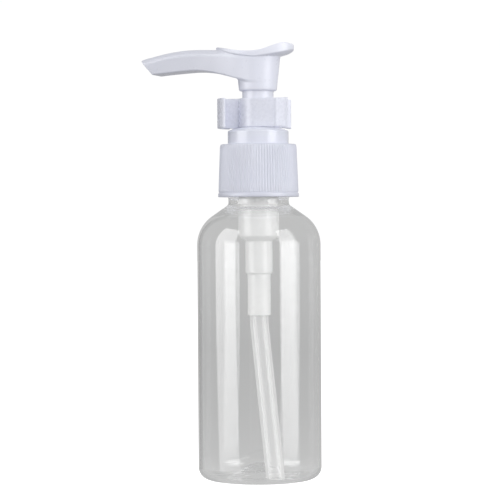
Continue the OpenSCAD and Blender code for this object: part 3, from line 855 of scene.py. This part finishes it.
def make_tube():
    """A pipe that drops straight, bends, and runs at a lean to an end cut level with the floor."""
    # centre line: distance out, z, lean
    path = [(0.0, z, 0.0) for z in np.linspace(TUBE_TOP, TUBE_BEND_Z, 6)]
    for a in np.linspace(0, TUBE_LEAN, 15)[1:]:
        path.append((TUBE_BEND_R * (1 - math.cos(a)), TUBE_BEND_Z - TUBE_BEND_R * math.sin(a), a))
    bend_x, bend_z = path[-1][:2]
    length = (bend_z - TUBE_END_Z) / math.cos(TUBE_LEAN)
    for s in np.linspace(0, length, 22)[1:]:
        path.append((bend_x + s * math.sin(TUBE_LEAN), bend_z - s * math.cos(TUBE_LEAN), TUBE_LEAN))
    sides = 56
    cos_turn, sin_turn = math.cos(TUBE_TURN), math.sin(TUBE_TURN)
    verts, rings = [], []
    for radius, rows in ((TUBE_OUTER_R, path), (TUBE_INNER_R, path[::-1])):
        for row in rows:
            x, z, lean = row
            rings.append(range(len(verts), len(verts) + sides))
            for k in range(sides):
                around = TAU * k / sides
                u, across = radius * math.cos(around), radius * math.sin(around)
                out, height = x + u * math.cos(lean), z + u * math.sin(lean)
                if row == path[-1]:
                    out += (height - TUBE_END_Z) / math.cos(lean) * math.sin(lean)
                    height = TUBE_END_Z
                verts.append((out * cos_turn - across * sin_turn,
                              out * sin_turn + across * cos_turn, height))
    faces = []
    for i, low in enumerate(rings):
        high = rings[(i + 1) % len(rings)]
        for k in range(sides):
            q = (k + 1) % sides
            faces.append((high[k], high[q], low[q], low[k]))
    build("dip_tube_pipe", verts, faces, body="pump", node="dip_tube", slot="natural_pe",
          material=TUBE_MILKY, sharp=40)


# ---------------------------------------------------------------- lock clip

# one arm from the ring's side to its tip: u, w, half thickness
CLIP_ARM = [(0, 5.945, 0.585), (2.3, 5.90, 0.585), (4.2, 5.83, 0.50), (5.7, 5.70, 0.34),
            (6.5, 5.80, 0.34), (7.5, 6.25, 0.36), (8.6, 6.90, 0.38), (9.5, 7.42, 0.38),
            (10.05, 7.82, 0.42)]


def plan_arc(radius, start, end, step):
    return [(radius * math.cos(a), radius * math.sin(a)) for a in
            map(math.radians, range(start, end, step))]


def clip_plan(u, w):
    """The clip seen from above: an open ring, a web on its -u side and a curved pad beyond."""
    side = np.abs(w)
    back = plan_arc(CLIP_RING_R, 90, 181, 6)
    ring = np.minimum(
        stroke(u, side, back, [CLIP_HALF_WALL] * len(back)),
        stroke(u, side, [stop[:2] for stop in CLIP_ARM], [stop[2] for stop in CLIP_ARM]),
    )
    web = np.maximum(side - 0.6, np.maximum(-12.9 - u, u + 6.0))
    pad = plan_arc(CLIP_PAD_R, 145, 181, 5)
    pad = stroke(u, side, pad, [0.5] + [0.56] * (len(pad) - 1))
    return smooth_min(smooth_min(ring, web, 0.5), pad, 0.5)


def walk(plan, start, step, most=4000):
    """Follow a flat shape's outline anticlockwise at an even step; points and outward normals."""
    reach = 0.02
    probes = np.array([[reach, 0], [-reach, 0], [0, reach], [0, -reach], [0, 0]])

    def snap(point):
        for _ in range(4):
            value = plan(*(probes + point).T)
            gradient = np.array([value[0] - value[1], value[2] - value[3]]) / (2 * reach)
            point = point - value[4] * gradient / max(gradient @ gradient, 0.25)
        return point, gradient / max(np.linalg.norm(gradient), 1e-6)

    point, normal = snap(np.array(start, float))
    points, normals = [point], [normal]
    while len(points) < most:
        point, normal = snap(point + step * np.array([-normal[1], normal[0]]))
        if len(points) > 20 and np.linalg.norm(point - points[0]) < 0.8 * step:
            break
        points.append(point)
        normals.append(normal)
    normals = sum(np.roll(np.array(normals), shift, axis=0) for shift in (-2, -1, 0, 1, 2))
    return np.array(points), normals / np.linalg.norm(normals, axis=1)[:, None]


def make_clip():
    """The plan drawn up from the collar's dome, with rounded top and bottom edges."""
    points, normals = walk(clip_plan, (-13.6, 0.3), 0.12)
    u, w = points.T
    away = np.where(u < 0, u * u + w * w, w * w)
    low = np.maximum(dome(away) + CLIP_GAP, CLIP_LOWEST)
    # rows: angle round the edge, share of the height
    rows = [(90, 0), (60, 0), (30, 0)] + [(0, t / 14) for t in range(15)]
    rows += [(30, 1), (60, 1), (90, 1)]
    rings = []
    for angle, t in rows:
        angle = math.radians(angle)
        ring = points - normals * CLIP_EDGE * (1 - math.cos(angle))
        inset = CLIP_EDGE * (1 - math.sin(angle))
        rings.append(np.column_stack([ring, (low + inset) * (1 - t) + (CLIP_TOP - inset) * t]))
    verts = np.concatenate(rings)
    count, top = len(points), (len(rows) - 1) * len(points)
    faces = [
        (j * count + i, j * count + (i + 1) % count,
         (j + 1) * count + (i + 1) % count, (j + 1) * count + i)
        for j in range(len(rows) - 1) for i in range(count)
    ]
    flat = [Vector((q[0], q[1], 0)) for q in rings[-1]]
    for i, j, k in tessellate_polygon([flat]):
        a, b, c = flat[i], flat[j], flat[k]
        area = (b.x - a.x) * (c.y - a.y) - (b.y - a.y) * (c.x - a.x)
        if area <= 0:
            j, k = k, j
        if abs(area) > 1e-9:
            faces.append((top + i, top + j, top + k))
            faces.append((i, k, j))
    cos_turn, sin_turn = math.cos(CLIP_TURN), math.sin(CLIP_TURN)
    u, w, z = verts.T
    verts = np.column_stack([u * cos_turn - w * sin_turn, u * sin_turn + w * cos_turn, z])
    build("lock_clip_body", verts, faces, body="clip", node="lock_clip", slot="white_pp",
          material=CLIP_WHITE, sharp=40)


# ---------------------------------------------------------------- head

# spout, against x: top z, underside z, half width
SPOUT_TOP = [
    (-41, 139.3), (-40, 139.65), (-38.4, 140.2), (-36, 140.75), (-33.2, 141.4), (-29.5, 142.1),
    (-24, 142.7), (-20.5, 142.8), (-14.5, 142.6), (-9, 142.25), (-3, 141.75), (3, 141.4),
    (6, 141.3)]
SPOUT_UNDER = [
    (-41, 133.9), (-36, 134.6), (-33, 134.95), (-31.2, 135.1), (-28.5, 135.3), (-24.4, 135.6),
    (-20.3, 135.72), (-16.1, 135.35), (-12.4, 134.6), (-9.4, 133.85), (-6, 132.95), (-3, 132.3),
    (0, 131.8), (3, 131.5), (6, 131.3)]
SPOUT_HALF = [
    (-42, 4.8), (-36, 4.85), (-28, 5.0), (-20, 5.35), (-14, 5.9), (-10, 6.4), (-6, 6.92),
    (-3, 7.1), (0, 7.03), (1, 6.86), (2, 6.5), (3, 5.95), (4, 5.2), (6, 3.0)]
# pad on top, against x: z of its top at the rim, of its underside at the rim and in the middle
PAD_TOP = [
    (-15, 143.75), (-13.6, 143.65), (-11.5, 143.3), (-9.5, 142.95), (-6.5, 142.4), (-4, 142.05),
    (-1.5, 141.92), (1, 142.0), (2.5, 142.2), (4, 142.62), (6.5, 143.5), (8.4, 144.2),
    (9.8, 144.6), (10.8, 144.62), (12, 144.1), (13, 143.3)]
PAD_RIM = [
    (-15, 142.6), (-13.6, 142.45), (-11.5, 142.0), (-9.5, 141.55), (-7.2, 141.05), (-4, 140.5),
    (-2.4, 140.28), (1, 139.98), (4, 140.35), (6.5, 140.75), (9.3, 141.2), (11, 141.7),
    (13, 142.4)]
PAD_KEEL = [
    (-15, 142.0), (-13.6, 141.6), (-9.5, 140.3), (-4, 139.4), (0, 139.1), (4, 139.2),
    (7.8, 139.95), (11.4, 141.1), (13, 142.0)]


def spout_field(x, y, z, inset=0.0):
    draft = np.clip((x + 18) / 12, 0, 1) * 0.11
    top, under = spline(SPOUT_TOP, x) - inset, spline(SPOUT_UNDER, x) + inset
    half = spline(SPOUT_HALF, x) - inset + draft * (z - 137)
    middle = (top + under) / 2
    corner = np.where(z > middle, 2.5 - 0.6 * inset, 0.55)
    over_y = np.abs(y) - half + corner
    over_z = np.abs(z - middle) - (top - under) / 2 + corner
    outside = np.hypot(np.maximum(over_y, 0), np.maximum(over_z, 0))
    return outside + np.minimum(np.maximum(over_y, over_z), 0) - corner


def pad_field(x, y, z):
    """The dished pad on top: a rounded oval in plan, dipping along its middle."""
    half_length, half_width, power = np.where(x < -1, 13.1, 13.2), 8.0, 2.15
    oval = np.abs((x + 1) / half_length) ** power + np.abs(y / half_width) ** power
    plan = ((oval + 1e-9) ** (1 / power) - 1) * half_width
    to_rim = np.clip(1 + plan / half_width, 0, 1.15) ** 2
    keel = spline(PAD_KEEL, x)
    top = spline(PAD_TOP, x) - 0.75 * (1 - to_rim)
    under = keel + (spline(PAD_RIM, x) - keel) * to_rim
    return smooth_max(smooth_max(z - top, under - z, 0.3), plan, 0.45)


def head_field(x, y, z):
    """Boss, spout and pad, less the stem socket, the bore and the spout's channel."""
    r = np.hypot(x, y)
    boss_wall = (r - (6.25 + (z - 128.8) * 1.25 / 11.4)) * 0.994
    boss = smooth_max(smooth_max(boss_wall, 128.8 - z, 0.75), z - 141.2, 0.6)
    # the spout's end is cut on a slant, facing -X and down
    mouth = ((x + 40.0) * -4.75 + (z - 139.9) * -4.25) / 6.374
    spout = smooth_max(smooth_max(spout_field(x, y, z), mouth, 0.3), x - 5.5, 0.5)
    body = smooth_min(smooth_min(boss, spout, 0.8), pad_field(x, y, z), 0.22)
    socket = np.maximum(np.maximum(r - 5.22, z - 135.0), 127.0 - z)
    bore = np.maximum(r - 3.6, z - 139.4)
    channel = np.maximum(np.maximum(spout_field(x, y, z, inset=1.35), x - 1.5), z - 141.3)
    hollow = np.minimum(socket, np.minimum(bore, channel))
    return smooth_max(body, -hollow, 0.2)


def make_head():
    cell_size, relax = ((0.2, 3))
    verts, faces = surface_nets(head_field, (-42.0, -8.9, 128.2), (13.2, 8.9, 145.6),
                                cell_size, relax)
    build("head_moulding", verts, faces, body="head", node="actuator", slot="white_pp",
          material=HEAD_WHITE, normals=unit_normals(head_field, verts))


# ---------------------------------------------------------------- stage, in metres

CAMERA_AZIMUTH = math.radians(16.0)
CAMERA_TILT, CAMERA_ROLL = math.radians(1.0883148), math.radians(-0.35)
CAMERA_DISTANCE, CAMERA_SHIFT, CAMERA_HEIGHT = 0.700, 0.00295, 0.0894
LIGHT_DISTANCE = 0.95

SEEN_STRENGTH = 1.02  # world to the camera
ROOM_STRENGTH = 0.545  # world in mirrors and through the clear wall
SKY_STRENGTH = (0.52, 0.82)  # world to dull surfaces, straight down and straight up
# brightness of the room round the horizon: height of the view direction, grey level
ROOM_BAND = [(-0.16, 1.06), (-0.119, 1.02), (-0.095, 0.93), (-0.066, 0.88), (-0.024, 0.97),
             (0.0, 1.0), (0.06, 1.0)]


def make_world():
    """White to the camera, a grey room to the clear wall, and an even light for dull surfaces."""
    world = bpy.data.worlds.new("studio")
    SCENE.world = world
    k = Nodes(world, "ShaderNodeOutputWorld")
    world.cycles.sampling_method = "NONE"
    height = k.xyz("Generated")["Z"]
    rays = k.node("ShaderNodeLightPath").outputs

    def background(strength, colour=(1, 1, 1, 1)):
        return k.add("ShaderNodeBackground", {"Color": colour, "Strength": strength})

    low, high = ROOM_BAND[0][0], ROOM_BAND[-1][0]
    band = k.node("ShaderNodeValToRGB", {"Fac": k.remap(height, to=(0, 1), source=(low, high))})
    stops = band.color_ramp.elements
    while len(stops) < len(ROOM_BAND):
        stops.new(0.5)
    # all places before any colour, in case moving a stop reorders them
    for stop, (place, _) in zip(stops, ROOM_BAND):
        stop.position = (place - low) / (high - low)
    for stop, (_, grey) in zip(stops, ROOM_BAND):
        stop.color = (grey, grey, grey, 1)
    room = background(ROOM_STRENGTH, band.outputs["Color"])
    dull = background(k.remap(height, to=SKY_STRENGTH, source=(-1, 1)))
    unseen = k.mix_shaders(rays["Is Diffuse Ray"], room, dull)
    k.finish(k.mix_shaders(rays["Is Camera Ray"], unseen, background(SEEN_STRENGTH)))


def make_floor():
    """A white paper disc, darker to everything but the camera."""
    sides = 96
    radii = [0.05, 0.1, 0.2, 0.4, 0.8, 1.6, 3.0]
    verts = [(r * math.cos(TAU * k / sides), r * math.sin(TAU * k / sides), 0.0)
             for r in radii for k in range(sides)]
    centre = len(verts)
    verts.append((0, 0, 0))
    faces = [(centre, k, (k + 1) % sides) for k in range(sides)]
    for i in range(len(radii) - 1):
        for k in range(sides):
            q = (k + 1) % sides
            inner, outer = i * sides, (i + 1) * sides
            faces.append((inner + k, outer + k, outer + q, inner + q))
    mesh = bpy.data.meshes.new("floor")
    mesh.from_pydata(verts, [], faces)
    floor = bpy.data.objects.new("floor", mesh)
    SCENE.collection.objects.link(floor)
    floor.location.z = -0.00005
    floor.visible_glossy = False
    floor.visible_transmission = False
    k = new_material("floor_paper")
    paper = k.add("ShaderNodeBsdfDiffuse", {"Color": (0.82, 0.82, 0.82, 1)})
    lit = k.add_shaders(paper, k.emission(0.62))
    dark = k.emission(0.44, (0.98, 0.985, 1.0, 1))
    seen = k.add("ShaderNodeLightPath", output="Is Camera Ray")
    mesh.materials.append(k.finish(k.mix_shaders(seen, dark, lit)))


def face_bottle(obj, azimuth, distance, z):
    """Stand an object facing the axis; azimuth runs from the camera's towards its right."""
    a = CAMERA_AZIMUTH + math.radians(azimuth)
    obj.location = (distance * math.sin(a), -distance * math.cos(a), z)
    obj.rotation_mode = "QUATERNION"
    obj.rotation_quaternion = Vector((-math.sin(a), math.cos(a), 0)).to_track_quat("-Z", "Y")
    obj.visible_camera = False


def softbox(name, azimuth, distance, width, height, z, power):
    """The soft light itself, for everything but mirror images of it."""
    light = bpy.data.lights.new(name, "AREA")
    light.shape = "RECTANGLE"
    light.size, light.size_y = width, height
    light.energy = power
    obj = bpy.data.objects.new(name, light)
    SCENE.collection.objects.link(obj)
    obj.visible_glossy = False
    obj.visible_transmission = False
    face_bottle(obj, azimuth, distance, z)


def card(name, azimuth, left, right, low, high, material):
    """An upright sheet, unseen by dull surfaces and casting no shadow."""
    half = (high - low) / 2
    mesh = bpy.data.meshes.new(name)
    corners = [(left, -half, 0), (right, -half, 0), (right, half, 0), (left, half, 0)]
    mesh.from_pydata(corners, [], [(3, 2, 1, 0)])
    mesh.materials.append(material)
    obj = bpy.data.objects.new(name, mesh)
    SCENE.collection.objects.link(obj)
    obj.visible_diffuse = False
    obj.visible_shadow = False
    face_bottle(obj, azimuth, LIGHT_DISTANCE, (high + low) / 2)
    return obj


def diffuser(name, azimuth, width, strength, soft, foot):
    """The lit cloth of a soft light, as shiny things mirror it.

    It dims to the share foot at its bottom. Its -X and +X edges fade over the two widths in
    soft, and its lower part leans towards its own +X.
    """
    low, high, lean = -0.30, 1.10, 1.1
    middle, half = (high + low) / 2, width / 2
    k = new_material(name)
    place = k.xyz()
    fade = k.remap(place["Y"], to=(foot, 1.0), source=(-0.20 - middle, 0.06 - middle))
    below = k.math("MAXIMUM", k.math("SUBTRACT", -0.01 - middle, place["Y"]), 0.0)
    across = k.math("SUBTRACT", place["X"], k.math("MULTIPLY", below, lean))
    side = k.math("MULTIPLY",
                  k.remap(across, to=(0, 1), source=(-half, -half + soft[0])),
                  k.remap(across, to=(1, 0), source=(half - soft[1], half)))
    cloth = k.emission(k.math("MULTIPLY", fade, strength))
    material = k.finish(k.mix_shaders(side, k.add("ShaderNodeBsdfTransparent"), cloth))
    card(name, azimuth, -half, half + 0.4, low, high, material)


def flag(name, azimuth, width, low, high):
    """A near-black card that darkens the mirror image along the edge of the clear wall."""
    k = new_material(name)
    material = k.finish(k.emission(0.08, (0.5, 0.5, 0.5, 1)))
    obj = card(name, azimuth, -width / 2, width / 2, low, high, material)
    obj.visible_transmission = False


def make_lights():
    softbox("soft_left", azimuth=-74, distance=LIGHT_DISTANCE, width=0.86, height=1.15, z=0.56,
            power=1.2)
    softbox("soft_right", azimuth=57, distance=LIGHT_DISTANCE, width=0.62, height=1.15, z=0.56,
            power=2.3)
    softbox("front_fill", azimuth=14, distance=1.0, width=0.9, height=0.9, z=0.25, power=3.6)
    diffuser("cloth_left", azimuth=-66.7, width=0.765, strength=4.45, soft=(0.035, 0.01), foot=0.35)
    diffuser("cloth_right", azimuth=57.0, width=0.66, strength=4.4, soft=(0.01, 0.13), foot=0.15)
    flag("black_flag", azimuth=-143, width=0.30, low=-0.13, high=1.10)


def make_camera():
    data = bpy.data.cameras.new("camera")
    data.sensor_fit = "HORIZONTAL"
    data.sensor_width = 36.0
    data.lens = 151.6
    data.clip_start, data.clip_end = 0.05, 20
    camera = bpy.data.objects.new("camera", data)
    SCENE.collection.objects.link(camera)
    right = Vector((math.cos(CAMERA_AZIMUTH), math.sin(CAMERA_AZIMUTH), 0))
    ahead = Vector((-math.sin(CAMERA_AZIMUTH), math.cos(CAMERA_AZIMUTH), 0))
    height = Vector((0, 0, CAMERA_HEIGHT))
    camera.location = -ahead * CAMERA_DISTANCE - right * CAMERA_SHIFT + height
    look = ahead * math.cos(CAMERA_TILT) - Vector((0, 0, 1)) * math.sin(CAMERA_TILT)
    look.normalize()
    axes = Matrix((right, right.cross(look), -look)).transposed().to_4x4()
    camera.rotation_mode = "QUATERNION"
    camera.rotation_quaternion = (axes @ Matrix.Rotation(CAMERA_ROLL, 4, "Z")).to_quaternion()
    SCENE.camera = camera


def set_render():
    SCENE.view_settings.view_transform = "Standard"
    SCENE.view_settings.look = "None"
    cycles = SCENE.cycles
    cycles.use_denoising = True
    cycles.max_bounces = 28
    cycles.transmission_bounces = 28
    cycles.transparent_max_bounces = 24
    cycles.diffuse_bounces = 4
    cycles.glossy_bounces = 20
    cycles.sample_clamp_indirect = 6.0
    cycles.blur_glossy = 0.3


make_bottle()
make_closure()
make_turned_pieces()
make_rod()
make_spring()
make_tube()
make_clip()
make_head()
make_world()
make_floor()
make_lights()
make_camera()
set_render()
